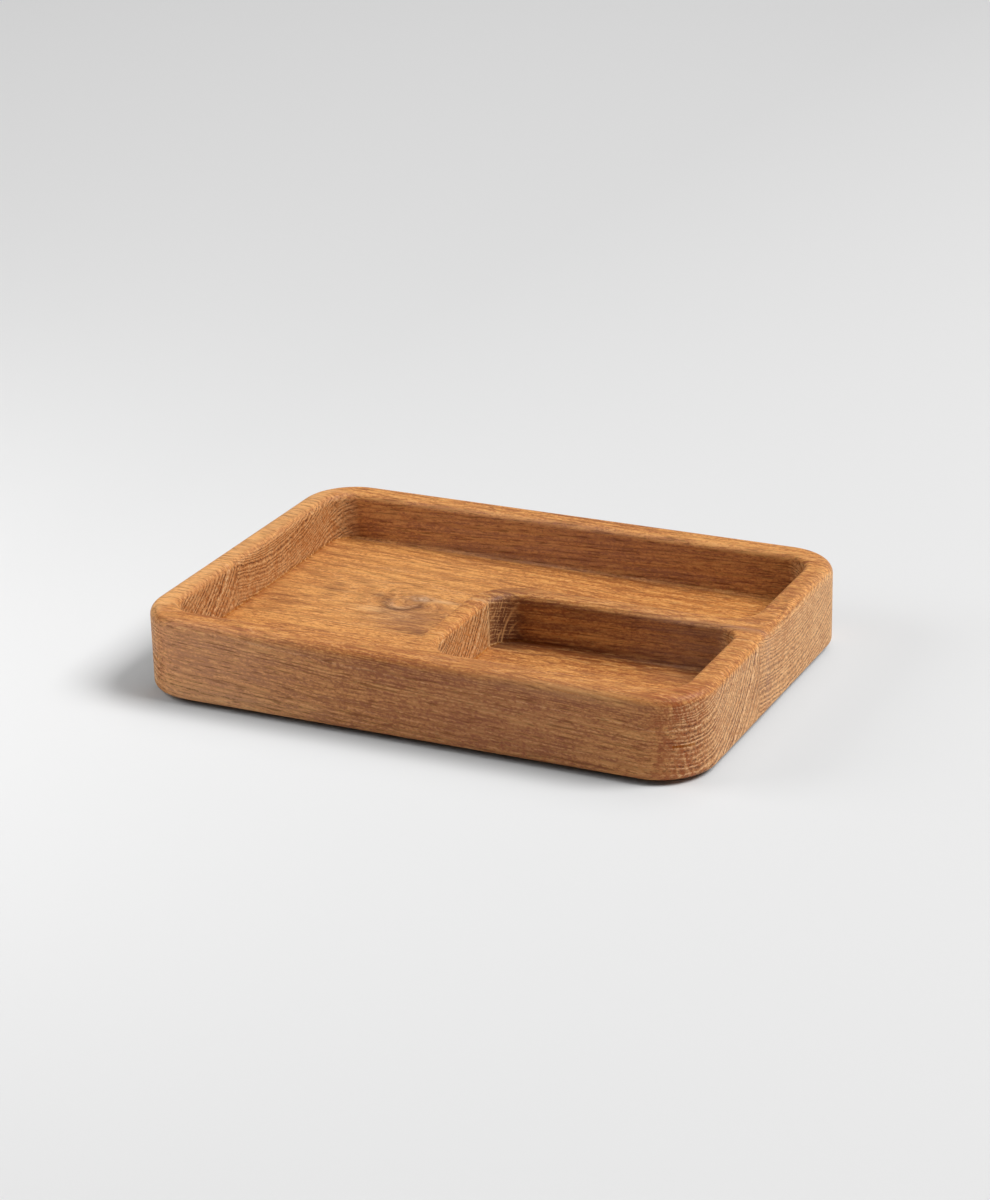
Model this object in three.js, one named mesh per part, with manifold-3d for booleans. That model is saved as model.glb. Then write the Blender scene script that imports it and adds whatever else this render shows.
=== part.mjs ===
// A two-pocket desk tray milled from an edge-glued oak blank, standing on four rubber feet.
// Millimetres, +Z up, +X to the right along the grain, the front face towards -Y.
// The origin is on the table, under the middle of the tray.

import * as THREE from "three";
import { mergeVertices } from "three/addons/utils/BufferGeometryUtils.js";
import Module from "manifold-3d";

const wasm = await Module();
wasm.setup();

// Outside of the wooden body
const trayLength = 250;
const trayWidth = 176;
const bodyHeight = 35;
const outerCornerRadius = 24;
const topEdgeRound = 4;
const bottomEdgeRound = 2.5;

// Pockets, milled from above
const endWall = 12;
const sideWall = 13;
const dividerThickness = 10;
const floorThickness = 14;
const smallPocketLength = 107;
const smallPocketWidth = 66.5;
const pocketCornerRadius = 12;
const pocketLipRound = 3;
const floorFillet = 1;

// The blank: two staves with one straight glue joint along the grain
const frontStaveWidth = 69.5;

// Feet, stuck to the flat underside
const footDiameter = 12;
const footHeight = 2;
const footEdgeRound = 0.6;
const footInset = 24;

// Facets of a quarter turn, and how far a cutter reaches past the wood
const cornerSteps = 8;
const edgeSteps = 4;
const footSides = 32;
const cutClearance = 2;

const QUARTER_TURN = Math.PI / 2;
const bodyBottom = footHeight;
const bodyTop = bodyBottom + bodyHeight;
const pocketFloor = bodyBottom + floorThickness;

const oak = new THREE.MeshStandardMaterial({ color: 0xb17a46, roughness: 0.55, metalness: 0 });
const oakRear = new THREE.MeshStandardMaterial({ color: 0xa9713f, roughness: 0.55, metalness: 0 });
const rubber = new THREE.MeshStandardMaterial({ color: 0x1e1c1b, roughness: 0.85, metalness: 0 });

// Corners of a rectangle, anticlockwise, all with one radius.
function rectangle(left, right, front, back, radius) {
  return [
    { at: new THREE.Vector2(left, front), radius },
    { at: new THREE.Vector2(right, front), radius },
    { at: new THREE.Vector2(right, back), radius },
    { at: new THREE.Vector2(left, back), radius },
  ];
}

// Points of a square-cornered outline with rounded corners, moved inwards by inset.
// Each corner keeps its centre, so an outside corner tightens and an inside corner opens.
function roundedOutline(corners, inset) {
  const points = [];
  corners.forEach(({ at, radius }, index) => {
    const before = corners.at(index - 1).at;
    const after = corners[(index + 1) % corners.length].at;
    const arriving = at.clone().sub(before).normalize();
    const leaving = after.clone().sub(at).normalize();
    const turn = Math.sign(arriving.cross(leaving));
    const centre = at.clone().addScaledVector(arriving, -radius).addScaledVector(leaving, radius);
    const start = leaving.clone().negate().angle();
    for (let step = 0; step <= cornerSteps; step += 1) {
      const angle = start + (turn * QUARTER_TURN * step) / cornerSteps;
      const spoke = new THREE.Vector2(Math.cos(angle), Math.sin(angle));
      points.push(centre.clone().addScaledVector(spoke, radius - turn * inset));
    }
  });
  return points;
}

// A closed solid whose outline is inset by a profile: one { inset, z } station after another, upwards.
function profiledSolid(corners, profile) {
  const rings = profile.map(({ inset, z }) => ({ z, outline: roundedOutline(corners, inset) }));
  const count = rings[0].outline.length;
  const positions = rings.flatMap(({ z, outline }) => outline.flatMap(({ x, y }) => [x, y, z]));
  const triangles = [];
  for (let ring = 0; ring < rings.length - 1; ring += 1) {
    for (let point = 0; point < count; point += 1) {
      const low = ring * count + point;
      const lowNext = ring * count + ((point + 1) % count);
      triangles.push(low, lowNext, lowNext + count, low, lowNext + count, low + count);
    }
  }
  const topStart = (rings.length - 1) * count;
  for (const [a, b, c] of THREE.ShapeUtils.triangulateShape(rings[0].outline, [])) {
    triangles.push(a, c, b);
  }
  for (const [a, b, c] of THREE.ShapeUtils.triangulateShape(rings.at(-1).outline, [])) {
    triangles.push(topStart + a, topStart + b, topStart + c);
  }
  const geometry = new THREE.BufferGeometry();
  geometry.setAttribute("position", new THREE.Float32BufferAttribute(positions, 3));
  geometry.setIndex(triangles);
  return geometry;
}

// Angles of a quarter turn, from 0 to 90 degrees.
function quarterAngles(steps) {
  return Array.from({ length: steps + 1 }, (_, step) => (QUARTER_TURN * step) / steps);
}

function toSolid(geometry) {
  const bare = geometry.clone();
  bare.deleteAttribute("normal");
  bare.deleteAttribute("uv");
  const merged = mergeVertices(bare);
  return new wasm.Manifold(
    new wasm.Mesh({
      numProp: 3,
      vertProperties: merged.attributes.position.array,
      triVerts: new Uint32Array(merged.index.array),
    }),
  );
}

function toGeometry(solid) {
  const { vertProperties, triVerts } = solid.getMesh();
  const geometry = new THREE.BufferGeometry();
  geometry.setAttribute("position", new THREE.BufferAttribute(vertProperties, 3));
  geometry.setIndex(new THREE.BufferAttribute(triVerts, 1));
  geometry.computeVertexNormals();
  return geometry;
}

// The block before milling: rounded along its upper and lower edges.
function bodyBlock() {
  const halfLength = trayLength / 2;
  const halfWidth = trayWidth / 2;
  const corners = rectangle(-halfLength, halfLength, -halfWidth, halfWidth, outerCornerRadius);
  const lowerEdge = quarterAngles(edgeSteps).map((angle) => ({
    inset: bottomEdgeRound * (1 - Math.sin(angle)),
    z: bodyBottom + bottomEdgeRound * (1 - Math.cos(angle)),
  }));
  const upperEdge = quarterAngles(edgeSteps).map((angle) => ({
    inset: topEdgeRound * (1 - Math.cos(angle)),
    z: bodyTop - topEdgeRound * (1 - Math.sin(angle)),
  }));
  return toSolid(profiledSolid(corners, [...lowerEdge, ...upperEdge]));
}

// The shape that one pocket's milling takes away: filleted at the floor, flared at the lip.
function pocketCutter(corners) {
  const fillet = quarterAngles(edgeSteps).map((angle) => ({
    inset: floorFillet * (1 - Math.sin(angle)),
    z: pocketFloor + floorFillet * (1 - Math.cos(angle)),
  }));
  const lip = quarterAngles(edgeSteps).map((angle) => ({
    inset: -pocketLipRound * (1 - Math.cos(angle)),
    z: bodyTop - pocketLipRound * (1 - Math.sin(angle)),
  }));
  const mouth = { inset: -pocketLipRound, z: bodyTop + cutClearance };
  return toSolid(profiledSolid(corners, [...fillet, ...lip, mouth]));
}

// The faces of the pockets in plan. The dividers stand between the small pocket and the L.
const pocketRight = trayLength / 2 - endWall;
const pocketLeft = -pocketRight;
const pocketBack = trayWidth / 2 - sideWall;
const pocketFront = -pocketBack;
const smallPocketLeft = pocketRight - smallPocketLength;
const smallPocketBack = pocketFront + smallPocketWidth;
const bayRight = smallPocketLeft - dividerThickness;
const stripFront = smallPocketBack + dividerThickness;

// The L-shaped pocket: a bay on the left and a strip along the back.
// The divider bends round the small pocket at one thickness, so its outer corner shares that centre.
function largePocketCorners() {
  const radius = pocketCornerRadius;
  const dividerCornerRadius = pocketCornerRadius + dividerThickness;
  return [
    { at: new THREE.Vector2(pocketLeft, pocketFront), radius },
    { at: new THREE.Vector2(bayRight, pocketFront), radius },
    { at: new THREE.Vector2(bayRight, stripFront), radius: dividerCornerRadius },
    { at: new THREE.Vector2(pocketRight, stripFront), radius },
    { at: new THREE.Vector2(pocketRight, pocketBack), radius },
    { at: new THREE.Vector2(pocketLeft, pocketBack), radius },
  ];
}

function smallPocketCorners() {
  return rectangle(smallPocketLeft, pocketRight, pocketFront, smallPocketBack, pocketCornerRadius);
}

// The length of the milled body that lies between two planes across the tray.
function staveBetween(body, front, back) {
  const blank = new THREE.BoxGeometry(
    trayLength + 2 * cutClearance,
    back - front,
    bodyHeight + 2 * cutClearance,
  );
  blank.translate(0, (front + back) / 2, bodyBottom + bodyHeight / 2);
  return toGeometry(body.intersect(toSolid(blank)));
}

function staves() {
  const milledBody = bodyBlock()
    .subtract(pocketCutter(largePocketCorners()))
    .subtract(pocketCutter(smallPocketCorners()));
  const glueJoint = -trayWidth / 2 + frontStaveWidth;
  const frontEnd = -trayWidth / 2 - cutClearance;
  const backEnd = trayWidth / 2 + cutClearance;
  return {
    front: staveBetween(milledBody, frontEnd, glueJoint),
    rear: staveBetween(milledBody, glueJoint, backEnd),
  };
}

// A turned foot: flat on the wood and on the table, with a softened lower edge.
function footGeometry() {
  const radius = footDiameter / 2;
  const lowerEdge = quarterAngles(edgeSteps).map(
    (angle) =>
      new THREE.Vector2(
        radius - footEdgeRound * (1 - Math.sin(angle)),
        footEdgeRound * (1 - Math.cos(angle)),
      ),
  );
  const profile = [
    new THREE.Vector2(0, 0),
    ...lowerEdge,
    new THREE.Vector2(radius, footHeight),
    new THREE.Vector2(0, footHeight),
  ];
  const geometry = new THREE.LatheGeometry(profile, footSides);
  geometry.rotateX(QUARTER_TURN);
  return geometry;
}

function namedMesh(name, geometry, material) {
  const mesh = new THREE.Mesh(geometry, material);
  mesh.name = name;
  return mesh;
}

function foot(name, xSide, ySide) {
  const mesh = namedMesh(name, footGeometry(), rubber);
  mesh.position.set(
    xSide * (trayLength / 2 - footInset),
    ySide * (trayWidth / 2 - footInset),
    0,
  );
  return mesh;
}

const tray = new THREE.Group();
const { front, rear } = staves();
tray.add(namedMesh("front_stave", front, oak));
tray.add(namedMesh("rear_stave", rear, oakRear));
for (const [row, ySide] of [["front", -1], ["rear", 1]]) {
  for (const [side, xSide] of [["left", -1], ["right", 1]]) {
    tray.add(foot(`foot_${row}_${side}`, xSide, ySide));
  }
}

export default tray;
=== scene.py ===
"""A two-pocket desk tray of oiled oak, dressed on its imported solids.

The body is milled from two oak staves glued edge to edge, and stands on four stuck-on rubber feet.
Everything is in metres, in the frame of the solids: +X to the right along the grain, the front face
towards -Y, +Z up, and the table at zero. The marks in the wood are in millimetres.
"""

import logging
import math
from collections.abc import Callable, Iterator, Mapping, Sequence
from contextlib import contextmanager
from dataclasses import dataclass
from enum import Enum
from itertools import pairwise
from typing import Any

import bmesh
import bpy
from mathutils import Matrix, Vector

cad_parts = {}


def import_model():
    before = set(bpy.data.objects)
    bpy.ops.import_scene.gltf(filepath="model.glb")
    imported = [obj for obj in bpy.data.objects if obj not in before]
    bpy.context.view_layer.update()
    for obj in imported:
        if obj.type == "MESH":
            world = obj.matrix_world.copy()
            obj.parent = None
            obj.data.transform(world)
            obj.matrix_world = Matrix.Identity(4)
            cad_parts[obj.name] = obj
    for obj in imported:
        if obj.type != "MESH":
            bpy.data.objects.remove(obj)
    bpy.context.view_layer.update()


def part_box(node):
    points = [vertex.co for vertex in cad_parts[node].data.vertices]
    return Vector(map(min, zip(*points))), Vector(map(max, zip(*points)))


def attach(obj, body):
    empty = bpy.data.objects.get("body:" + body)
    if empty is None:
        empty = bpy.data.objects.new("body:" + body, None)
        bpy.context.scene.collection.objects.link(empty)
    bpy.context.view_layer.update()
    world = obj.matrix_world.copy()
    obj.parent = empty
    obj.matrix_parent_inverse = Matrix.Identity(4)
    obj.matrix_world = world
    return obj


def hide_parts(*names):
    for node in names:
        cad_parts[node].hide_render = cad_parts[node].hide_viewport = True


LOG = logging.getLogger("desk_tray")

Colour = tuple[float, float, float, float]
Material = bpy.types.Material
Object = bpy.types.Object
Socket = bpy.types.NodeSocket
Span = tuple[float, float]
Tree = bpy.types.NodeTree
Triple = tuple[float, float, float]

MM = 0.001
MM_PER_METRE = 1000.0
NEAR = 0.01 * MM
PLACE_DIGITS = 5
ENDLESS = math.inf
BODY = "root"

# The sockets for colours on a mix node, which has others of the same names
MIX_AMOUNT = 0
MIX_UNDER = 6
MIX_OVER = 7
MIX_RESULT = 2


class Part(Enum):
    """What a selection in edit mode takes."""

    CORNERS = ("verts", "VERT")
    EDGES = ("edges", "EDGE")
    FACES = ("faces", "FACE")


class Stave(Enum):
    """The two staves of the blank, each with its solid's name and its finish's slot."""

    FRONT = ("front_stave", "oak_front")
    REAR = ("rear_stave", "oak_rear")


class Grain(Enum):
    """The wood's random patterns.

    Each has its size along the grain and in the two ways across it, in millimetres, how many finer layers
    are added, and how far it is shifted.
    """

    FIBRES = ((45.0, 1.5, 3.0), 2.0, 47.0)
    FLECKS = ((10.0, 1.6, 1.6), 2.0, 47.0)
    SPECKS = ((1.8, 0.9, 0.9), 2.0, 47.0)
    PORES = ((0.9, 0.5, 0.5), 2.0, 47.0)
    BANDS = ((130.0, 7.0, 12.0), 2.0, 5.0)
    CLOUDS = ((60.0, 25.0, 25.0), 1.0, 71.0)
    WANDER = ((170.0, 45.0, 45.0), 2.0, 11.0)
    EDDIES = ((22.0, 11.0, 11.0), 2.0, 61.0)
    TEARS = ((25.0, 5.0, 5.0), 3.0, 19.0)
    VESSELS = ((9.0, 0.8, 0.8), 1.0, 83.0)
    RAYS = ((18.0, 0.7, 6.0), 0.0, 29.0)


# The bundles of fibre that colour the wood, from long to short, each with its weight
BUNDLES = {Grain.FIBRES: 0.35, Grain.FLECKS: 0.6, Grain.SPECKS: 0.85, Grain.PORES: 0.35}

# Where the bundles start and stop showing a marked tone, real or painted light
STREAKS = (0.64, 0.38)

# One growth ring from start to end: how dark its porous start is, and how pale the line after it
EARLY_WOOD = ((0.0, 0.8), (0.08, 1.0), (0.26, 0.4), (0.4, 0.0), (0.82, 0.0), (1.0, 0.8))
LATE_WOOD = ((0.0, 0.0), (0.43, 0.0), (0.5, 1.0), (0.58, 0.9), (0.68, 0.0))


def srgb(code: str) -> Colour:
    """Turns an sRGB hex colour into linear red, green, blue and alpha.

    Args:
        code: Six hex digits after a hash.

    Returns:
        The linear colour, opaque.
    """
    channels = [int(code[at : at + 2], 16) / 255 for at in (1, 3, 5)]
    red, green, blue = [c / 12.92 if c <= 0.04045 else ((c + 0.055) / 1.055) ** 2.4 for c in channels]
    return red, green, blue, 1.0


def select_only(piece: Object) -> None:
    """Selects one piece and makes it the active one.

    Args:
        piece: The mesh object.
    """
    bpy.ops.object.select_all(action="DESELECT")
    piece.select_set(True)
    bpy.context.view_layer.objects.active = piece


@contextmanager
def editing(piece: Object) -> Iterator[None]:
    """Holds one piece in edit mode, with nothing else selected.

    Args:
        piece: The mesh object to edit.
    """
    select_only(piece)
    bpy.ops.object.mode_set(mode="EDIT")
    yield
    bpy.ops.object.mode_set(mode="OBJECT")


def pick(piece: Object, part: Part, wanted: Callable[[Any], bool]) -> None:
    """Selects what passes a test, and nothing else, on a piece in edit mode.

    Args:
        piece: The mesh object in edit mode.
        part: Whether corners, edges or faces are tested.
        wanted: The test of one corner, edge or face.
    """
    collection, mode = part.value
    bpy.ops.mesh.select_mode(type=mode)
    bpy.ops.mesh.select_all(action="DESELECT")
    mesh = bmesh.from_edit_mesh(piece.data)
    for element in getattr(mesh, collection):
        element.select_set(wanted(element))
    mesh.select_flush_mode()
    bmesh.update_edit_mesh(piece.data)


def pick_level(piece: Object, part: Part, level: float) -> None:
    """Selects the edges or faces that lie flat at one height, on a piece in edit mode."""
    pick(piece, part, lambda element: all(abs(corner.co.z - level) < NEAR for corner in element.verts))


def bevel(radius: float, segments: int, affect: str = "EDGES") -> None:
    """Rounds the selected edges or corners with a number of facets."""
    bpy.ops.mesh.bevel(offset=radius, segments=segments, affect=affect, clamp_overlap=False)


def face_outwards() -> None:
    """Turns every face of the piece in edit mode outwards."""
    bpy.ops.mesh.select_all(action="SELECT")
    bpy.ops.mesh.normals_make_consistent(inside=False)


def middle(edge: bmesh.types.BMEdge) -> Vector:
    """The mean of an edge's corners."""
    return sum((corner.co for corner in edge.verts), Vector()) / len(edge.verts)


def placed_primitive(add: Callable[..., Any], low: Vector, high: Vector) -> Object:
    """Adds a unit primitive and gives it a box's size and place, with its object left at the origin.

    Args:
        add: The primitive's operator, which takes a size.
        low: The lowest corner of the box.
        high: The highest corner of the box.

    Returns:
        The new mesh object.
    """
    bpy.ops.object.select_all(action="DESELECT")
    add(size=1, location=(low + high) / 2)
    piece = bpy.context.active_object
    piece.scale = [max(side, MM) for side in high - low]
    bpy.ops.object.transform_apply(location=True, rotation=True, scale=True)
    return piece


def copy_of(piece: Object, name: str) -> Object:
    """Copies a piece with a mesh of its own.

    Args:
        piece: The mesh object to copy.
        name: The copy's name.

    Returns:
        The copy.
    """
    select_only(piece)
    bpy.ops.object.duplicate(linked=False)
    copy = bpy.context.active_object
    copy.name = name
    copy.data.name = name
    return copy


def smooth(piece: Object, sharp_deg: float) -> None:
    """Shades the rounds smooth and keeps the flats flat.

    Args:
        piece: The mesh object.
        sharp_deg: The angle past which an edge stays sharp.
    """
    select_only(piece)
    bpy.ops.object.shade_smooth_by_angle(angle=math.radians(sharp_deg))
    bpy.ops.object.modifier_add(type="WEIGHTED_NORMAL")
    piece.modifiers[-1].keep_sharp = True
    bpy.ops.object.modifier_apply(modifier=piece.modifiers[-1].name)


def cover(piece: Object, material: Material) -> None:
    """Gives a piece one material and no other."""
    piece.data.materials.clear()
    piece.data.materials.append(material)


def add_node(
    tree: Tree,
    kind: str,
    settings: Mapping[str, Any] | None = None,
    inputs: Mapping[int | str, Any] | None = None,
) -> bpy.types.Node:
    """Adds one node with its settings and what each input takes.

    Args:
        tree: The material's or world's node tree.
        kind: The node's type.
        settings: The node's own properties.
        inputs: For each input, by index or name, an output to link or a fixed value.

    Returns:
        The new node.
    """
    node = tree.nodes.new(kind)
    for name, value in (settings or {}).items():
        setattr(node, name, value)
    for key, value in (inputs or {}).items():
        if isinstance(value, Socket):
            tree.links.new(value, node.inputs[key])
        else:
            node.inputs[key].default_value = value
    return node


def number(tree: Tree, operation: str, *values: Socket | float) -> Socket:
    """The result of a math node's operation on its inputs, in order."""
    return add_node(tree, "ShaderNodeMath", {"operation": operation}, dict(enumerate(values))).outputs[0]


def vector(tree: Tree, operation: str, *values: Socket | Sequence[float]) -> Socket:
    """The vector, or the length, that a vector math node makes of its inputs, in order."""
    node = add_node(tree, "ShaderNodeVectorMath", {"operation": operation}, dict(enumerate(values)))
    return node.outputs["Value" if operation == "LENGTH" else "Vector"]


def axes_of(tree: Tree, place: Socket) -> tuple[Socket, Socket, Socket]:
    """Splits a vector into its x, y and z."""
    return tuple(add_node(tree, "ShaderNodeSeparateXYZ", {}, {0: place}).outputs)


def remap(
    tree: Tree, value: Socket, to: Span = (0.0, 1.0), of: Span = (0.0, 1.0), ease: bool = False
) -> Socket:
    """Carries one span of a number over to another, and holds it past the ends.

    Args:
        tree: The node tree.
        value: The number.
        to: The span that comes out.
        of: The span that goes in.
        ease: Whether it starts and stops softly.

    Returns:
        The number in the other span.
    """
    return add_node(
        tree,
        "ShaderNodeMapRange",
        {"interpolation_type": "SMOOTHSTEP" if ease else "LINEAR"},
        {"Value": value, "From Min": of[0], "From Max": of[1], "To Min": to[0], "To Max": to[1]},
    ).outputs[0]


def ramp(tree: Tree, value: Socket, stops: Sequence[tuple[float, Colour]]) -> Socket:
    """Turns a number into a colour.

    Args:
        tree: The node tree.
        value: The number.
        stops: Positions and their colours.

    Returns:
        The colour.
    """
    node = add_node(tree, "ShaderNodeValToRGB", {}, {0: value})
    elements = node.color_ramp.elements
    while len(elements) < len(stops):
        elements.new(1.0)
    for element, (position, colour) in zip(elements, stops, strict=True):
        element.position = position
        element.color = colour
    return node.outputs[0]


def laid(tree: Tree, under: Socket, amount: Socket, over: Socket | Colour) -> Socket:
    """One colour laid over another, as much of it as the amount says."""
    inputs = {MIX_AMOUNT: amount, MIX_UNDER: under, MIX_OVER: over}
    return add_node(tree, "ShaderNodeMix", {"data_type": "RGBA"}, inputs).outputs[MIX_RESULT]


def relief(tree: Tree, height: Socket, strength: float, depth: float) -> Socket:
    """The normal of a surface with a height, which is 1 for the full depth in metres."""
    return add_node(
        tree, "ShaderNodeBump", {}, {"Strength": strength, "Distance": depth, "Height": height}
    ).outputs[0]


def object_place(tree: Tree) -> Socket:
    """The place on the piece, in metres."""
    return add_node(tree, "ShaderNodeTexCoord").outputs["Object"]


def new_material(name: str) -> tuple[Material, Tree]:
    """Makes an empty node material.

    Args:
        name: The real material's name.

    Returns:
        The material and its node tree.
    """
    material = bpy.data.materials.new(name)
    material.use_nodes = True
    material.node_tree.nodes.clear()
    return material, material.node_tree


def end_with(tree: Tree, inputs: Mapping[str, Any]) -> None:
    """Ends a material with its shader, given what the shader's inputs take."""
    shader = add_node(tree, "ShaderNodeBsdfPrincipled", {}, inputs)
    add_node(tree, "ShaderNodeOutputMaterial", {}, {"Surface": shader.outputs[0]})


@dataclass(frozen=True)
class Patch:
    """A soft-edged place in the wood. Millimetres, and endless along an axis whose reach is infinite."""

    middle: Triple
    reach: Triple
    rim: float = 0.0
    softness: float = 1.0

    def nearness(self, tree: Tree, at: Socket) -> Socket:
        """How near a place is: 1 in the middle, or on the rim of a hollow patch, falling off as a bell.

        Args:
            tree: The node tree.
            at: The place, in millimetres.

        Returns:
            The nearness.
        """
        away = vector(tree, "SUBTRACT", at, self.middle)
        scaled = vector(tree, "MULTIPLY", away, [1 / side for side in self.reach])
        distance = vector(tree, "LENGTH", scaled)
        off = number(tree, "MULTIPLY_ADD", distance, 1 / self.softness, -self.rim / self.softness)
        square = number(tree, "MULTIPLY", off, off)
        return number(tree, "EXPONENT", number(tree, "MULTIPLY", square, -1.0))


def spot(x: float, y: float, reach_x: float, reach_y: float) -> Patch:
    """A patch that runs the whole depth of the wood."""
    return Patch((x, y, 0.0), (reach_x, reach_y, ENDLESS))


@dataclass(frozen=True)
class Knot:
    """The foot of a branch, which lifts the rings and pushes the grain aside. Millimetres."""

    patch: Patch
    lift: float
    push: float
    swirl: float


@dataclass(frozen=True)
class StainOrPaintedLight:
    """A place painted another tone, broken up by the grain down to its evenness: a real mark in the wood,
    or painted light or shade.
    """

    patch: Patch
    tint: str
    share: float
    broken_by: Grain = Grain.FIBRES
    only: Patch | None = None
    evenness: float = 0.25

    def shown(self, tree: Tree, at: Socket, bundle: Socket) -> Socket:
        """How much of the tone shows, real or painted light.

        Args:
            tree: The node tree.
            at: The place, in millimetres.
            bundle: The bundles of fibre that break it up.

        Returns:
            The amount.
        """
        near = self.patch.nearness(tree, at)
        if self.only:
            near = number(tree, "MULTIPLY", near, self.only.nearness(tree, at))
        part = remap(tree, bundle, (self.share * self.evenness, self.share), STREAKS)
        return number(tree, "MULTIPLY", near, part)


@dataclass(frozen=True)
class OiledOak:
    """Oak, planed, milled, sanded and oiled.

    The oil makes it a satin golden brown. The rings are cut by the faces as one solid: bands along the
    grain on the floors and walls, bows on the paler end grain. Open vessels are dark dashes along the
    grain and dots on the ends. In one singed place the rays are thin pale lines across the rings.
    Lengths are in millimetres. A span called a share runs from faces along the grain to the ends.
    """

    name: str
    pith_left: Span
    pith_right: Span
    half_length: float
    glue_joint: float
    seed: float
    reach: float
    knot: Knot | None = None
    stains_and_painted_light: tuple[StainOrPaintedLight, ...] = ()

    pale: str = "#E9A65B"
    golden: str = "#CF8743"
    brown: str = "#A25E2B"
    end_pale: str = "#EAB47A"
    end_brown: str = "#BC7C43"
    tone_stops: Triple = (0.1, 0.5, 0.9)
    tone_span: Span = (1.15, 1.57)
    band_weight: float = 0.38
    cloud_weight: float = 0.5

    ring_line: str = "#673414"
    ring_share: Span = (0.28, 0.65)
    late_line: str = "#F2C490"
    late_share: Span = (0.16, 0.8)
    ring_width: float = 1.7
    ring_wander: float = 5.0
    ring_tear: float = 2.2
    ring_strength: Span = (0.5, 1.2)
    spell: float = 9.0
    spell_rings: float = 2.8
    speck_span: Span = (0.41, 0.59)
    speck_strength: Span = (0.1, 1.65)

    vessel: str = "#613317"
    vessel_share: Span = (0.42, 0.5)
    vessel_span: Span = (0.59, 0.7)
    vessel_crowding: float = 0.1

    ray: str = "#F0B878"
    ray_share: Span = (0.0, 0.9)
    ray_span: Span = (0.6, 0.7)
    ray_strength: Span = (0.0, 0.75)
    ray_patch: Patch | None = None
    long_ray: float = 0.0
    long_ray_half: float = 0.3
    singe: str = "#963A0A"
    singe_share: Span = (0.0, 0.12)

    glue: str = "#5A3A20"
    glue_span: Span = (0.08, 0.22)
    glue_strength: Span = (0.5, 0.0)

    end_span: Span = (0.35, 0.85)
    lip_fade: float = 0.8
    half_width: float = 88.0
    rim: float = 4.0
    crease_middle: float = 16.6
    crease_half: float = 0.55

    dull: str = "#665E57"
    dull_strength: Span = (0.4, 0.95)
    shine: Span = (0.5, 0.05)
    roughness: Span = (0.58, 0.8)
    ior: float = 1.5
    fibre_relief: float = 0.35
    relief_strength: float = 0.35
    relief_depth: float = 0.15
    noise_roughness: float = 0.58

    def make(self) -> Material:
        """Makes the finish.

        Returns:
            The node material.
        """
        material, tree = new_material(self.name)
        at = vector(tree, "MULTIPLY", object_place(tree), [MM_PER_METRE] * 3)
        ends = self.end_grain(tree)
        radius, grain = self.growth(tree, at)
        bundles = {kind: self.noise(tree, grain, kind) for kind in BUNDLES}
        early, late = self.rings(tree, at, radius, bundles[Grain.SPECKS])
        vessels = self.vessels(tree, grain, early)
        colour = self.ground(tree, at, grain, bundles, ends)
        for stain_or_painted_light in self.stains_and_painted_light:
            amount = stain_or_painted_light.shown(tree, at, bundles[stain_or_painted_light.broken_by])
            colour = laid(tree, colour, amount, srgb(stain_or_painted_light.tint))
        layers = [
            (early, self.ring_share, self.ring_line),
            (late, self.late_share, self.late_line),
            (vessels, self.vessel_share, self.vessel),
            (self.glue_film(tree, at), (1.0, 1.0), self.glue),
        ]
        if self.ray_patch:
            near = self.ray_patch.nearness(tree, at)
            layers.append((self.rays(tree, grain, near), self.ray_share, self.ray))
            layers.append((near, self.singe_share, self.singe))
        for amount, share, tint in layers:
            part = number(tree, "MULTIPLY", amount, remap(tree, ends, share))
            colour = laid(tree, colour, part, srgb(tint))
        fibres = number(tree, "MULTIPLY", bundles[Grain.FIBRES], self.fibre_relief)
        height = number(tree, "SUBTRACT", fibres, vessels)
        end_with(
            tree,
            {
                "Base Color": self.muted(tree, at, colour),
                "Roughness": remap(tree, vessels, self.roughness),
                "Specular IOR Level": self.sheen(tree, at),
                "IOR": self.ior,
                "Normal": relief(tree, height, self.relief_strength, self.relief_depth * MM),
            },
        )
        return material

    def muted(self, tree: Tree, at: Socket, colour: Socket) -> Socket:
        """Dulls the light that the wood throws on, so that the paper round it stays neutral.

        Args:
            tree: The node tree.
            at: The place, in millimetres.
            colour: The wood's colour.

        Returns:
            The colour, dulled only where light bounces on: most on the outer walls.
        """
        bounced = add_node(tree, "ShaderNodeLightPath").outputs["Is Diffuse Ray"]
        strength = remap(tree, self.outside(tree, at), self.dull_strength)
        return laid(tree, colour, number(tree, "MULTIPLY", bounced, strength), srgb(self.dull))

    def outside(self, tree: Tree, at: Socket) -> Socket:
        """Where the outer walls are.

        Args:
            tree: The node tree.
            at: The place, in millimetres.

        Returns:
            1 on the outer walls and 0 inside them.
        """
        x, y, _ = axes_of(tree, vector(tree, "ABSOLUTE", at))
        past_end = number(tree, "GREATER_THAN", x, self.half_length - self.rim)
        past_side = number(tree, "GREATER_THAN", y, self.half_width - self.rim)
        return number(tree, "MAXIMUM", past_end, past_side)

    def sheen(self, tree: Tree, at: Socket) -> Socket:
        """How far the surface shines: hardly in the pockets' creases, where no sanding reaches.

        Args:
            tree: The node tree.
            at: The place, in millimetres.

        Returns:
            The specular level.
        """
        _, _, height = axes_of(tree, at)
        crease = number(tree, "COMPARE", height, self.crease_middle, self.crease_half)
        inside = number(tree, "GREATER_THAN", crease, self.outside(tree, at))
        return remap(tree, inside, self.shine)

    def end_grain(self, tree: Tree) -> Socket:
        """How squarely a face cuts the grain: 0 along it and on the sanded lips, 1 on the ends.

        Args:
            tree: The node tree.

        Returns:
            The share of end grain.
        """
        x, _, z = axes_of(tree, add_node(tree, "ShaderNodeTexCoord").outputs["Normal"])
        facing = number(tree, "ABSOLUTE", x)
        upward = number(tree, "MAXIMUM", z, 0.0)
        square = number(tree, "MULTIPLY_ADD", upward, -self.lip_fade, facing)
        return remap(tree, square, of=self.end_span, ease=True)

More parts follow.
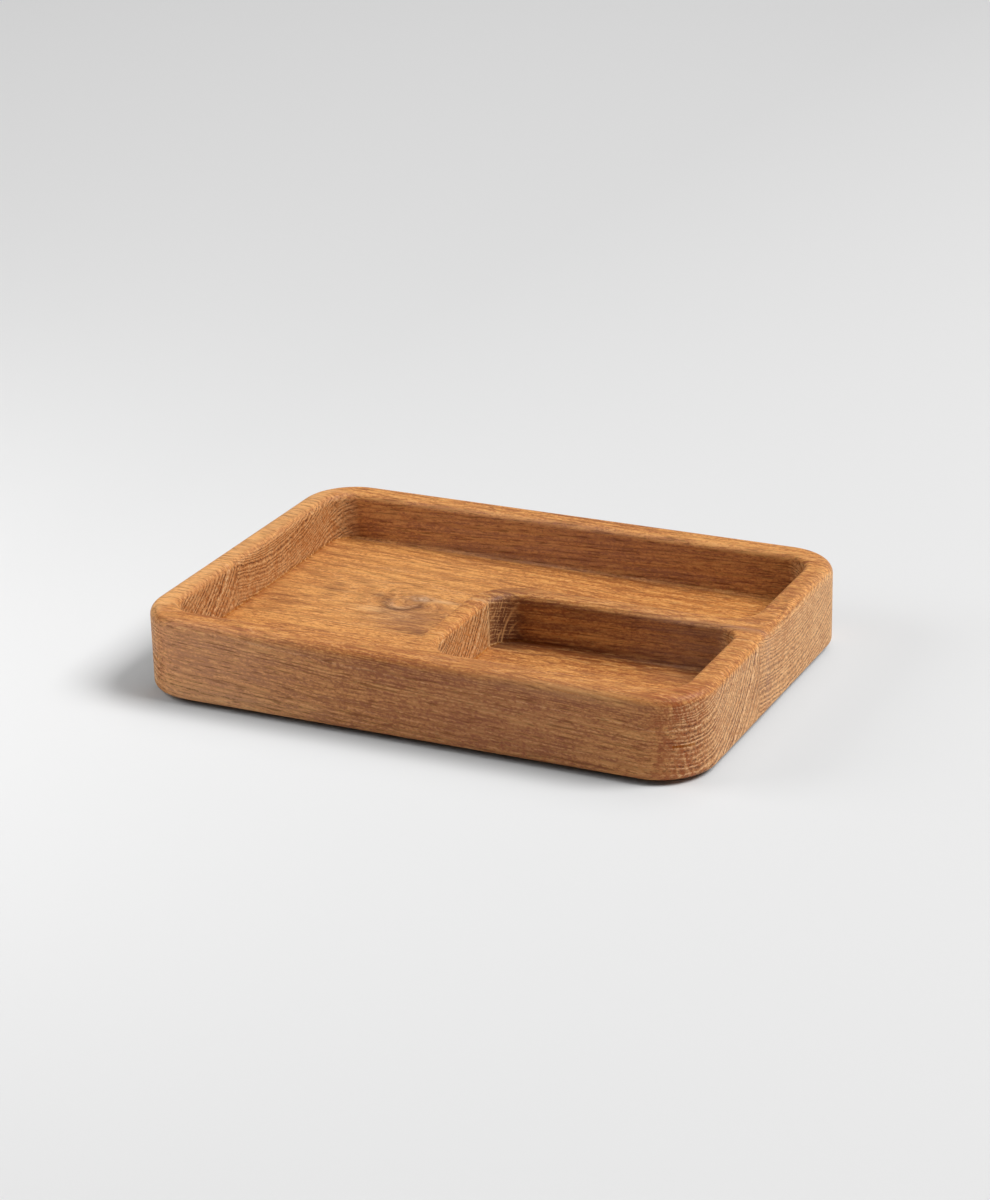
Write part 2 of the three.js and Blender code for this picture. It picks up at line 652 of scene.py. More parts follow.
    def noise(self, tree: Tree, at: Socket, kind: Grain, output: str = "Fac") -> Socket:
        """Soft random variation.

        Args:
            tree: The node tree.
            at: The place, in millimetres.
            kind: The pattern.
            output: Which of the noise's outputs is taken.

        Returns:
            The noise.
        """
        size, detail, shift = kind.value
        scaled = vector(tree, "MULTIPLY_ADD", at, [1 / side for side in size], [self.seed + shift] * 3)
        return add_node(
            tree,
            "ShaderNodeTexNoise",
            {},
            {"Vector": scaled, "Scale": 1.0, "Detail": detail, "Roughness": self.noise_roughness},
        ).outputs[output]

    def growth(self, tree: Tree, at: Socket) -> tuple[Socket, Socket]:
        """The distance from the pith, and the place as the tree grew it.

        Args:
            tree: The node tree.
            at: The place, in millimetres.

        Returns:
            The distance in millimetres, and a vector in millimetres: along the grain, round the pith and
            out from it.
        """
        x, y, z = axes_of(tree, self.bent(tree, at))
        offsets = []
        for axis, left, right in zip((y, z), self.pith_left, self.pith_right, strict=True):
            slope = (right - left) / (2 * self.half_length)
            pith = number(tree, "MULTIPLY_ADD", x, slope, (left + right) / 2)
            offsets.append(number(tree, "SUBTRACT", pith, axis))
        across = add_node(tree, "ShaderNodeCombineXYZ", {}, {"Y": offsets[0], "Z": offsets[1]})
        radius = vector(tree, "LENGTH", across.outputs[0])
        around = number(tree, "MULTIPLY", number(tree, "ARCTAN2", *offsets), self.reach)
        if self.knot:
            near = self.knot.patch.nearness(tree, at)
            radius = number(tree, "MULTIPLY_ADD", near, self.knot.lift, radius)
        grain = add_node(tree, "ShaderNodeCombineXYZ", {}, {"X": x, "Y": around, "Z": radius})
        return radius, grain.outputs[0]

    def bent(self, tree: Tree, at: Socket) -> Socket:
        """The place that the grain here came from: wandering gently, and pushed aside by the knot.

        Args:
            tree: The node tree.
            at: The place, in millimetres.

        Returns:
            The place, in millimetres.
        """
        wander = vector(tree, "SUBTRACT", self.noise(tree, at, Grain.WANDER, "Color"), [0.5] * 3)
        place = vector(tree, "MULTIPLY_ADD", wander, (0.0, self.ring_wander, self.ring_wander), at)
        if not self.knot:
            return place
        swirl = self.knot.swirl
        eddy = self.noise(tree, at, Grain.EDDIES, "Color")
        stirred = vector(tree, "MULTIPLY_ADD", eddy, (0.0, swirl, swirl), (0.0, -swirl / 2, -swirl / 2))
        away = vector(tree, "SUBTRACT", at, self.knot.patch.middle)
        aside = vector(tree, "MULTIPLY_ADD", away, (0.0, -self.knot.push, 0.0), stirred)
        moved = vector(tree, "MULTIPLY", aside, self.knot.patch.nearness(tree, at))
        return vector(tree, "ADD", place, moved)

    def rings(self, tree: Tree, at: Socket, radius: Socket, specks: Socket) -> tuple[Socket, Socket]:
        """The growth rings, wider outwards: a dark porous start each, a pale line, then an even rest.

        Args:
            tree: The node tree.
            at: The place, in millimetres.
            radius: The distance from the pith, in millimetres.
            specks: The fine specks that break the lines up.

        Returns:
            How far a place is in its ring's dark start, and how far in the pale line.
        """
        torn = number(tree, "MULTIPLY_ADD", self.noise(tree, at, Grain.TEARS), self.ring_tear, radius)
        spell = number(tree, "MULTIPLY_ADD", radius, 1 / self.spell, self.seed)
        change = add_node(
            tree,
            "ShaderNodeTexNoise",
            {"noise_dimensions": "1D"},
            {"W": spell, "Scale": 1.0, "Detail": 1.0},
        ).outputs[0]
        grown = number(tree, "LOGARITHM", torn, math.e)
        count = number(tree, "MULTIPLY", grown, self.reach / self.ring_width)
        year = number(tree, "MULTIPLY_ADD", change, self.spell_rings, count)
        phase = number(tree, "FRACT", year)
        chance = add_node(
            tree, "ShaderNodeTexWhiteNoise", {"noise_dimensions": "1D"}, {"W": number(tree, "FLOOR", year)}
        ).outputs["Value"]
        broken = remap(tree, specks, self.speck_strength, self.speck_span)
        strength = number(tree, "MULTIPLY", remap(tree, chance, self.ring_strength), broken)
        lines = []
        for stops in (EARLY_WOOD, LATE_WOOD):
            line = ramp(tree, phase, [(position, (level, level, level, 1.0)) for position, level in stops])
            lines.append(number(tree, "MULTIPLY", line, strength))
        return lines[0], lines[1]

    def vessels(self, tree: Tree, grain: Socket, early: Socket) -> Socket:
        """The open vessels, most of them in each ring's porous start.

        A real vessel is 0.3 mm across, too fine to show, so they are drawn about 0.8 mm across.

        Args:
            tree: The node tree.
            grain: The place as the tree grew it, in millimetres.
            early: How far the place is in the porous start of its ring.

        Returns:
            How far the place is inside a vessel.
        """
        dashes = self.noise(tree, grain, Grain.VESSELS)
        likely = number(tree, "MULTIPLY_ADD", early, self.vessel_crowding, dashes)
        return remap(tree, likely, of=self.vessel_span, ease=True)

    def rays(self, tree: Tree, grain: Socket, near: Socket) -> Socket:
        """The rays: thin sheets out from the pith, seen on the end grain of one place.

        Real rays are 0.2 mm thick, too thin to show, so they are drawn about 0.4 mm thick.

        Args:
            tree: The node tree.
            grain: The place as the tree grew it, in millimetres.
            near: How near that one place is.

        Returns:
            How much of a ray shows.
        """
        fan = remap(tree, self.noise(tree, grain, Grain.RAYS), self.ray_strength, self.ray_span, ease=True)
        sheet = Patch((0.0, self.long_ray, 0.0), (ENDLESS, self.long_ray_half, ENDLESS))
        either = number(tree, "MAXIMUM", fan, sheet.nearness(tree, grain))
        return number(tree, "MULTIPLY", either, near)

    def ground(
        self, tree: Tree, at: Socket, grain: Socket, bundles: Mapping[Grain, Socket], ends: Socket
    ) -> Socket:
        """The wood's own colour under its rings: bundles of fibre in broad darker and paler bands.

        Args:
            tree: The node tree.
            at: The place, in millimetres.
            grain: The place as the tree grew it, in millimetres.
            bundles: The bundles of fibre.
            ends: The share of end grain.

        Returns:
            The colour.
        """
        bands = self.noise(tree, grain, Grain.BANDS)
        clouds = self.noise(tree, at, Grain.CLOUDS)
        mottled = number(tree, "MULTIPLY_ADD", clouds, self.cloud_weight, bands)
        tone = number(tree, "MULTIPLY", mottled, self.band_weight)
        for kind, weight in BUNDLES.items():
            tone = number(tree, "MULTIPLY_ADD", bundles[kind], weight, tone)
        level = remap(tree, tone, of=self.tone_span)
        dark, half, light = self.tone_stops
        along = ramp(
            tree, level, [(dark, srgb(self.brown)), (half, srgb(self.golden)), (light, srgb(self.pale))]
        )
        across = ramp(tree, level, [(dark, srgb(self.end_brown)), (light, srgb(self.end_pale))])
        return laid(tree, along, ends, across)

    def glue_film(self, tree: Tree, at: Socket) -> Socket:
        """The glue joint's hairline.

        The real film is 0.1 mm, too thin to show, so it is drawn 0.3 mm wide over both staves.

        Args:
            tree: The node tree.
            at: The place, in millimetres.

        Returns:
            How far the place is in the film.
        """
        _, y, _ = axes_of(tree, at)
        away = number(tree, "ABSOLUTE", number(tree, "SUBTRACT", y, self.glue_joint))
        return remap(tree, away, self.glue_strength, self.glue_span)


@dataclass(frozen=True)
class MouldedRubber:
    """Soft black rubber, moulded: matt, with a fine even grain and a dusty bloom."""

    name: str = "moulded rubber"
    black: str = "#1C1A19"
    bloom: str = "#34312F"
    bloom_span: Span = (0.4, 0.8)
    grain_mm: float = 0.5
    grain_detail: float = 2.0
    roughness: Span = (0.75, 0.95)
    ior: float = 1.52
    relief_strength: float = 0.3
    relief_mm: float = 0.05

    def make(self) -> Material:
        """Makes the finish.

        Returns:
            The node material.
        """
        material, tree = new_material(self.name)
        grain = add_node(
            tree,
            "ShaderNodeTexNoise",
            {},
            {
                "Vector": object_place(tree),
                "Scale": 1 / (self.grain_mm * MM),
                "Detail": self.grain_detail,
            },
        ).outputs[0]
        bare, dusty = self.bloom_span
        end_with(
            tree,
            {
                "Base Color": ramp(tree, grain, [(bare, srgb(self.black)), (dusty, srgb(self.bloom))]),
                "Roughness": remap(tree, grain, self.roughness),
                "IOR": self.ior,
                "Normal": relief(tree, grain, self.relief_strength, self.relief_mm * MM),
            },
        )
        return material


@dataclass(frozen=True)
class SeamlessPaper:
    """Matt pale grey background paper, with no gloss at all. Lengths are in metres."""

    name: str = "seamless paper"
    # Painted light: the paper paler away to the left, where less of the lamps' light falls.
    near: str = "#E8E8E8"
    far: str = "#FCFCFC"
    fade: Span = (-0.25, -1.0)

    def make(self) -> Material:
        """Makes the finish.

        Returns:
            The node material, paler far off to the left as painted light, where the lamps light the floor
            less.
        """
        material, tree = new_material(self.name)
        x, _, _ = axes_of(tree, object_place(tree))
        away = remap(tree, x, of=self.fade)
        colour = ramp(tree, away, [(0.0, srgb(self.near)), (1.0, srgb(self.far))])
        end_with(tree, {"Base Color": colour, "Roughness": 1.0, "Specular IOR Level": 0.0})
        return material


@dataclass
class TrayBody:
    """The milled oak body: modelled whole, then cut at the glue joint into its two staves."""

    low: Vector
    high: Vector
    glue_joint: float
    corner_radius: float = 24 * MM
    top_round: float = 4 * MM
    bottom_round: float = 2.5 * MM
    end_wall: float = 12 * MM
    side_wall: float = 13 * MM
    divider: float = 10 * MM
    floor_thickness: float = 14 * MM
    small_pocket_length: float = 107 * MM
    small_pocket_width: float = 66.5 * MM
    pocket_corner: float = 12 * MM
    lip_round: float = 3 * MM
    floor_fillet: float = 1 * MM
    land: float = 0.4 * MM
    corner_segments: int = 24
    edge_segments: int = 8
    sharp_deg: float = 35.0
    straight_deg: float = 1.0

    @classmethod
    def from_frame(cls) -> "TrayBody":
        """Takes the body's box and its glue joint from the solids of the two staves.

        Returns:
            The body, not built yet.
        """
        front_low, front_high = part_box(Stave.FRONT.value[0])
        _, rear_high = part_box(Stave.REAR.value[0])
        return cls(low=front_low, high=rear_high, glue_joint=front_high.y)

    def build(self) -> dict[Stave, Object]:
        """Models the body and cuts it.

        Returns:
            The two staves.
        """
        body = self.blank()
        lip = self.lip_round + self.land
        inset = Vector((self.end_wall - lip, self.side_wall - lip, 0))
        pocket_low = self.low + inset
        pocket_high = self.high - inset
        small_left = self.high.x - self.end_wall - self.small_pocket_length
        small_back = self.low.y + self.side_wall + self.small_pocket_width
        bay_right = small_left - self.divider + lip
        strip_front = small_back + self.divider - lip
        small_mouth = self.mouth(small_left - lip, pocket_high.x, pocket_low.y, small_back + lip)
        large_mouth = self.mouth(pocket_low.x, bay_right, pocket_low.y, pocket_high.y)
        self.bend_into_l(large_mouth, strip_front, pocket_high.x)
        for mouth in (small_mouth, large_mouth):
            self.round_corners(mouth, Vector((bay_right, strip_front)))
            self.mill(mouth)
        self.close_top(body, [small_mouth, large_mouth])
        staves = {stave: self.cut(body, stave) for stave in Stave}
        bpy.data.objects.remove(body)
        return staves

    def blank(self) -> Object:
        """The block before milling: rounded at its corners and edges, and open on top.

        Returns:
            The mesh object.
        """
        blank = placed_primitive(bpy.ops.mesh.primitive_cube_add, self.low, self.high)
        with editing(blank):
            pick(blank, Part.EDGES, lambda edge: abs(edge.verts[0].co.z - edge.verts[1].co.z) > NEAR)
            bevel(self.corner_radius, self.corner_segments)
            for level, radius in ((self.low.z, self.bottom_round), (self.high.z, self.top_round)):
                pick_level(blank, Part.EDGES, level)
                bevel(radius, self.edge_segments)
            for level in (self.low.z, self.high.z):
                pick_level(blank, Part.FACES, level)
                bpy.ops.mesh.inset(thickness=self.land)
            bpy.ops.mesh.delete(type="ONLY_FACE")
        return blank

    def mouth(self, left: float, right: float, front: float, back: float) -> Object:
        """A square-cornered face in the tray's top, where a pocket is to be milled.

        Args:
            left: Its lowest x.
            right: Its highest x.
            front: Its lowest y.
            back: Its highest y.

        Returns:
            The mesh object.
        """
        return placed_primitive(
            bpy.ops.mesh.primitive_plane_add,
            Vector((left, front, self.high.z)),
            Vector((right, back, self.high.z)),
        )

    def bend_into_l(self, mouth: Object, strip_front: float, strip_right: float) -> None:
        """Carries the back of a mouth on to the right, so that it becomes an L.

        Args:
            mouth: The mesh object.
            strip_front: The front of the L's long leg.
            strip_right: Its right end.
        """
        bay_right = max(corner.co.x for corner in mouth.data.vertices)
        with editing(mouth):
            bpy.ops.mesh.select_all(action="SELECT")
            bpy.ops.mesh.bisect(plane_co=(0, strip_front, 0), plane_no=(0, 1, 0))
            pick(
                mouth,
                Part.EDGES,
                lambda edge: middle(edge).y > strip_front + NEAR and middle(edge).x > bay_right - NEAR,
            )
            bpy.ops.mesh.extrude_edges_move(
                TRANSFORM_OT_translate={"value": (strip_right - bay_right, 0, 0)}
            )
            face_outwards()
            bpy.ops.mesh.dissolve_limited(angle_limit=math.radians(self.straight_deg))

    def round_corners(self, mouth: Object, inner_corner: Vector) -> None:
        """Rounds a mouth's corners, as wide as its lip lets them open.

        Args:
            mouth: The mesh object.
            inner_corner: Where the L turns round the small pocket.
        """
        lip = self.lip_round + self.land
        turns = (
            (False, self.pocket_corner + lip),
            (True, self.pocket_corner + self.divider - lip),
        )
        square = {corner.co.xy.to_tuple(PLACE_DIGITS) for corner in mouth.data.vertices}
        with editing(mouth):
            for inner, radius in turns:
                pick(
                    mouth,
                    Part.CORNERS,
                    lambda corner, inner=inner: corner.co.xy.to_tuple(PLACE_DIGITS) in square
                    and ((corner.co.xy - inner_corner).length < NEAR) == inner,
                )
                if any(corner.select for corner in bmesh.from_edit_mesh(mouth.data).verts):
                    bevel(radius, self.corner_segments, "VERTICES")

    def mill(self, mouth: Object) -> None:
        """Sinks a mouth into the wood: over the lip, down the wall and round into the floor.

        Args:
            mouth: The mesh object.
        """
        depth = self.high.z - self.low.z - self.floor_thickness
        quarter = [math.pi / 2 * step / self.edge_segments for step in range(self.edge_segments + 1)]
        with editing(mouth):
            bpy.ops.mesh.select_mode(type="FACE")
            bpy.ops.mesh.select_all(action="SELECT")
            bpy.ops.mesh.inset(thickness=self.land)
            for start, end in pairwise(quarter):
                bpy.ops.mesh.inset(
                    thickness=self.lip_round * (math.sin(end) - math.sin(start)),
                    depth=-self.lip_round * (math.cos(start) - math.cos(end)),
                )
            bpy.ops.mesh.extrude_region_move(
                TRANSFORM_OT_translate={"value": (0, 0, self.lip_round + self.floor_fillet - depth)}
            )
            for start, end in pairwise(quarter):
                bpy.ops.mesh.inset(
                    thickness=self.floor_fillet * (math.cos(start) - math.cos(end)),
                    depth=-self.floor_fillet * (math.sin(end) - math.sin(start)),
                )
            bpy.ops.mesh.inset(thickness=self.land)

    def close_top(self, body: Object, pockets: Sequence[Object]) -> None:
        """Joins the milled pockets to the blank and lays the top between their rims.

        Args:
            body: The blank.
            pockets: The milled pockets.
        """
        select_only(body)
        for pocket in pockets:
            pocket.select_set(True)
        bpy.ops.object.join()
        with editing(body):
            pick(body, Part.EDGES, lambda edge: edge.is_boundary)
            bpy.ops.mesh.fill(use_beauty=True)
            face_outwards()

    def cut(self, body: Object, stave: Stave) -> Object:
        """Takes one stave from a copy of the whole body.

        Args:
            body: The whole body.
            stave: The stave that is kept.

        Returns:
            The stave.
        """
        node, slot = stave.value
        piece = copy_of(body, f"oak_{node}")
        with editing(piece):
            bpy.ops.mesh.select_all(action="SELECT")
            bpy.ops.mesh.bisect(
                plane_co=(0, self.glue_joint, 0),
                plane_no=(0, 1, 0),
                use_fill=True,
                clear_outer=stave is Stave.FRONT,
                clear_inner=stave is Stave.REAR,
            )
        smooth(piece, self.sharp_deg)
        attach(piece, BODY)
        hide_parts(node)
        return piece

    def shared_stains_and_painted_light(self) -> tuple[StainOrPaintedLight, ...]:
        """The marks that run on from stave to stave, where the cutter and the oil went over both, with a
        painted sheen along the left rim and painted shade in the creases and in the small pocket's back
        right corner.

        Returns:
            The marks and painted light, in millimetres.
        """
        return (
            StainOrPaintedLight(Patch((-60.0, 25.0, 16.0), (55.0, 60.0, 3.0)), "#EDB673", 0.35),
            # Painted sheen: the left rim paler along its top and rounds.
            StainOrPaintedLight(Patch((-119.0, 0.0, 37.0), (7.0, ENDLESS, 4.0)), "#F0B676", 0.75, evenness=0.5),
            StainOrPaintedLight(Patch((62.0, -11.0, 16.0), (75.0, 12.0, 4.0)), "#743608", 0.95, Grain.FLECKS),
            StainOrPaintedLight(Patch((-113.0, 0.0, 27.0), (3.0, ENDLESS, ENDLESS)), "#B4601A", 0.45),
            StainOrPaintedLight(spot(6.0, -40.0, 3.0, 20.0), "#E08A3C", 0.4),
            StainOrPaintedLight(Patch((119.0, -35.0, 37.0), (6.0, 40.0, 4.0)), "#A8622C", 0.35),
            # Painted shade in the creases at the foot of the bay's left wall and of the divider.
            StainOrPaintedLight(Patch((-112.7, 0.0, 16.3), (1.1, ENDLESS, 1.1)), "#8A4E24", 0.6, evenness=0.7),
            StainOrPaintedLight(Patch((6.3, -42.0, 16.3), (1.1, 24.0, 1.1)), "#8A4E24", 0.6, evenness=0.7),
            # Painted shadow on the small pocket's floor at its back right, by the right wall.
            StainOrPaintedLight(Patch((92.0, -19.0, 16.0), (16.0, 8.0, 2.0)), "#96603E", 0.6, evenness=0.5),
        )

    def front_stains_and_painted_light(self) -> tuple[StainOrPaintedLight, ...]:
        """The marks in the front stave: painted light on the left of its face and painted shade to the
        right, its rim redder with painted shade and a painted highlight on its outer round, and its corner
        redder.

        Returns:
            The marks and painted light, in millimetres.
        """
        return (
            *self.shared_stains_and_painted_light(),
            # Painted shade: the front rim's outer round darkened and redder, where it turns from the
            # light.
            StainOrPaintedLight(Patch((-75.0, -85.5, 35.5), (50.0, 4.0, 4.0)), "#8A4520", 0.4),
            StainOrPaintedLight(Patch((25.0, -80.5, 37.0), (45.0, 3.5, 1.2)), "#8A4520", 0.45),
            StainOrPaintedLight(Patch((55.0, -29.0, 16.0), (25.0, 2.5, 2.0)), "#F0B87A", 0.15),
            # Painted light: the front face lighter to the left.
            StainOrPaintedLight(spot(-95.0, -88.0, 50.0, 3.0), "#E6AA80", 0.43, evenness=0.85),
            # Painted shade: the front face darker from the middle to the right.
            StainOrPaintedLight(spot(40.0, -88.0, 80.0, 3.0), "#924A30", 0.47, evenness=0.85),
            # Painted highlight on the right part of the front rim's outer round.
            StainOrPaintedLight(Patch((75.0, -87.3, 34.8), (45.0, 2.2, 2.8)), "#F0B878", 0.5, evenness=0.35),
            StainOrPaintedLight(Patch((-80.0, -88.0, 7.0), (45.0, 6.0, 3.5)), "#DBA676", 0.3),
            StainOrPaintedLight(spot(118.0, -81.0, 15.0, 13.0), "#A24E10", 0.9),
            StainOrPaintedLight(Patch((4.0, -19.6, 27.0), (8.0, 1.0, 14.0)), "#E8BC86", 0.8),
        )

    def rear_stains_and_painted_light(self) -> tuple[StainOrPaintedLight, ...]:
        """The marks in the rear stave: a knot's dark bark and pale heart, a singed pocket corner, painted
        shade on the small pocket's back wall, and painted light on the back walls in shade.

        Returns:
            The marks and painted light, in millimetres.
        """
        bark = "#5C301C"
        collar = Patch((-49.0, 12.5, 0.0), (8.5, 8.5, ENDLESS), rim=1.0, softness=0.2)
        inner = Patch((-49.0, 12.5, 0.0), (8.5, 8.5, ENDLESS), rim=0.72, softness=0.16)
        below = spot(-49.0, 5.0, 11.0, 9.0)
        return (
            *self.shared_stains_and_painted_light(),
            StainOrPaintedLight(spot(-41.0, -2.0, 15.0, 14.0), "#8A6046", 0.6, Grain.FLECKS, evenness=0.6),
            StainOrPaintedLight(collar, "#4E2410", 1.0, only=below, evenness=0.7),
            StainOrPaintedLight(inner, "#E6B588", 0.7, Grain.SPECKS, only=below),
            StainOrPaintedLight(spot(-62.5, 15.5, 3.5, 2.2), bark, 0.95, evenness=0.4),
            StainOrPaintedLight(spot(-57.5, 11.5, 2.8, 2.8), bark, 0.95, evenness=0.4),
            StainOrPaintedLight(spot(-31.0, -16.0, 7.0, 4.0), bark, 0.75, Grain.FLECKS),
            StainOrPaintedLight(spot(-24.0, 3.0, 9.0, 2.5), bark, 0.5),
            StainOrPaintedLight(spot(-82.0, 15.0, 11.0, 2.5), bark, 0.5),
            StainOrPaintedLight(spot(-102.0, -9.0, 6.0, 7.0), "#8A4A1C", 0.5),
            StainOrPaintedLight(spot(-58.0, 0.0, 9.0, 3.0), "#E8BA84", 0.6),
            StainOrPaintedLight(spot(-44.0, 17.5, 6.0, 3.5), bark, 0.9, Grain.FLECKS, evenness=0.5),
            StainOrPaintedLight(spot(-43.5, 18.5, 5.0, 3.0), "#E4B890", 0.9, Grain.SPECKS, evenness=0.0),
            StainOrPaintedLight(spot(-47.5, 21.0, 2.4, 1.6), bark, 0.9),
            StainOrPaintedLight(spot(-40.5, 10.0, 2.4, 1.8), bark, 0.9),
            StainOrPaintedLight(spot(-33.0, 19.0, 7.0, 1.6), "#E3B17F", 0.8),
            StainOrPaintedLight(Patch((50.0, -4.0, 37.0), (30.0, 7.0, 4.0)), "#8A4A20", 0.3),
            # Painted shade on the left part of the small pocket's back wall.
            StainOrPaintedLight(spot(33.0, -8.5, 35.0, 2.0), "#543630", 0.45),
            # Painted light: the back walls in shade lightened and greyed, as a cool light would leave
            # them.
            StainOrPaintedLight(spot(97.0, -8.5, 32.0, 2.0), "#B4907E", 0.5, evenness=0.6),
            StainOrPaintedLight(spot(-10.0, 75.0, 110.0, 2.0), "#D8A890", 0.35, evenness=0.6),
            StainOrPaintedLight(spot(125.0, 70.0, 4.0, 35.0), "#F0C490", 0.3),
            StainOrPaintedLight(Patch((75.0, 55.0, 16.0), (50.0, 20.0, 3.0)), "#BC7020", 0.25),
            StainOrPaintedLight(
                Patch((27.0, -11.0, 16.0), (25.0, 5.0, 2.0)), "#7A3A10", 0.9, Grain.FLECKS, evenness=0.4
            ),
            StainOrPaintedLight(self.singed_corner(), "#381604", 0.98, evenness=0.7),
        )

    def singed_corner(self) -> Patch:
        """The corner of the small pocket where the cutter dwelt on the rear stave's end grain."""
        return Patch((10.0, -14.0, 24.0), (9.0, 8.0, 17.0))

    def dress(self, staves: Mapping[Stave, Object]) -> None:
        """Gives each stave oak of its own, turned as it grew.

        Args:
            staves: The two staves.
        """
        base = self.low.z / MM
        half_length = self.high.x / MM
        joint = self.glue_joint / MM
        oaks = {
            Stave.FRONT: OiledOak(
                name="oiled oak, front stave",
                pith_left=(-82.0, 78.0 + base),
                pith_right=(-86.0, 64.0 + base),
                half_length=half_length,
                glue_joint=joint,
                seed=3.0,
                reach=60.0,
                ring_width=2.2,
                ring_share=(0.28, 0.9),
                stains_and_painted_light=self.front_stains_and_painted_light(),
            ),
            Stave.REAR: OiledOak(
                name="oiled oak, rear stave",
                pith_left=(13.5, 122.0 + base),
                pith_right=(14.0, 134.0 + base),
                half_length=half_length,
                glue_joint=joint,
                seed=17.0,
                reach=115.0,
                knot=Knot(spot(-43.0, 16.0, 17.0, 12.0), lift=5.0, push=0.5, swirl=12.0),
                stains_and_painted_light=self.rear_stains_and_painted_light(),
                ray_patch=self.singed_corner(),
                long_ray=26.5,
                late_line="#F2BC80",
                end_span=(0.1, 0.5),
            ),
        }
        for stave, piece in staves.items():
            cover(piece, oaks[stave].make())


@dataclass
class RubberFeet:
    """Four stuck-on feet: one is modelled and the others are its copies."""

    edge_round: float = 0.6 * MM
    sides: int = 64
    round_segments: int = 6
    sharp_deg: float = 50.0
    slot: str = "foot_rubber"
    nodes: tuple[str, ...] = ("foot_front_left", "foot_front_right", "foot_rear_left", "foot_rear_right")

    def build(self) -> list[Object]:
        """Models the feet where their solids are.

        Returns:
            The feet.
        """
        first_low, first_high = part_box(self.nodes[0])
        pattern = self.pattern(first_low, first_high)
        feet = []
        for node in self.nodes:
            foot = copy_of(pattern, f"rubber_{node}")
            low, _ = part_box(node)
            bpy.ops.transform.translate(value=low - first_low)
            bpy.ops.object.transform_apply(location=True, rotation=True, scale=True)
            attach(foot, BODY)
            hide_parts(node)
            feet.append(foot)
        bpy.data.objects.remove(pattern)
        return feet

    def pattern(self, low: Vector, high: Vector) -> Object:
        """Models one foot: a low disc with a rounded lower edge.

        Args:
            low: The lowest corner of its solid.
            high: The highest corner of its solid.

        Returns:
            The mesh object.
        """
        bpy.ops.object.select_all(action="DESELECT")
        bpy.ops.mesh.primitive_cylinder_add(
            vertices=self.sides,
            radius=(high.x - low.x) / 2,
            depth=high.z - low.z,
            location=(low + high) / 2,
        )
        foot = bpy.context.active_object
        bpy.ops.object.transform_apply(location=True, rotation=True, scale=True)
        with editing(foot):
            pick_level(foot, Part.EDGES, low.z)
            bevel(self.edge_round, self.round_segments)
            pick_level(foot, Part.FACES, low.z)
            bpy.ops.mesh.inset(thickness=self.edge_round)
        smooth(foot, self.sharp_deg)
        return foot

    def dress(self, feet: Sequence[Object]) -> None:
        """Gives the feet their rubber.

        Args:
            feet: The feet.
        """
        rubber = MouldedRubber().make()
        for foot in feet:
            cover(foot, rubber)


@dataclass(frozen=True)
class AreaLight:
    """One soft light, aimed at the tray.

    The level is what a white card facing it gets at the tray. A light that isn't glossy leaves no
    highlight.
    """

    name: str
    azimuth_deg: float
    elevation_deg: float
    distance: float
    width: float
    height: float
    level: float
    glossy: bool = True

    def place(self) -> None:
        """Puts the light up."""
        lamp = bpy.data.lights.new(self.name, "AREA")
        lamp.shape = "RECTANGLE"
        lamp.size = self.width
        lamp.size_y = self.height
        lamp.energy = self.level * math.pi**2 * self.distance**2
        light = bpy.data.objects.new(self.name, lamp)
        bpy.context.scene.collection.objects.link(light)
        light.visible_glossy = self.glossy
        towards = direction(self.azimuth_deg, self.elevation_deg)
        light.location = towards * self.distance
        light.rotation_euler = towards.to_track_quat("Z", "Y").to_euler()


def direction(azimuth_deg: float, elevation_deg: float) -> Vector:
    """The way from the tray to a place round it.

    Args:
        azimuth_deg: Turn from the front, -Y, towards the right, +X.
        elevation_deg: Height above the table.

    Returns:
        A unit vector.
    """
    turn = math.radians(azimuth_deg)
    rise = math.radians(elevation_deg)
    return Vector(
        (math.sin(turn) * math.cos(rise), -math.cos(turn) * math.cos(rise), math.sin(rise))
    )


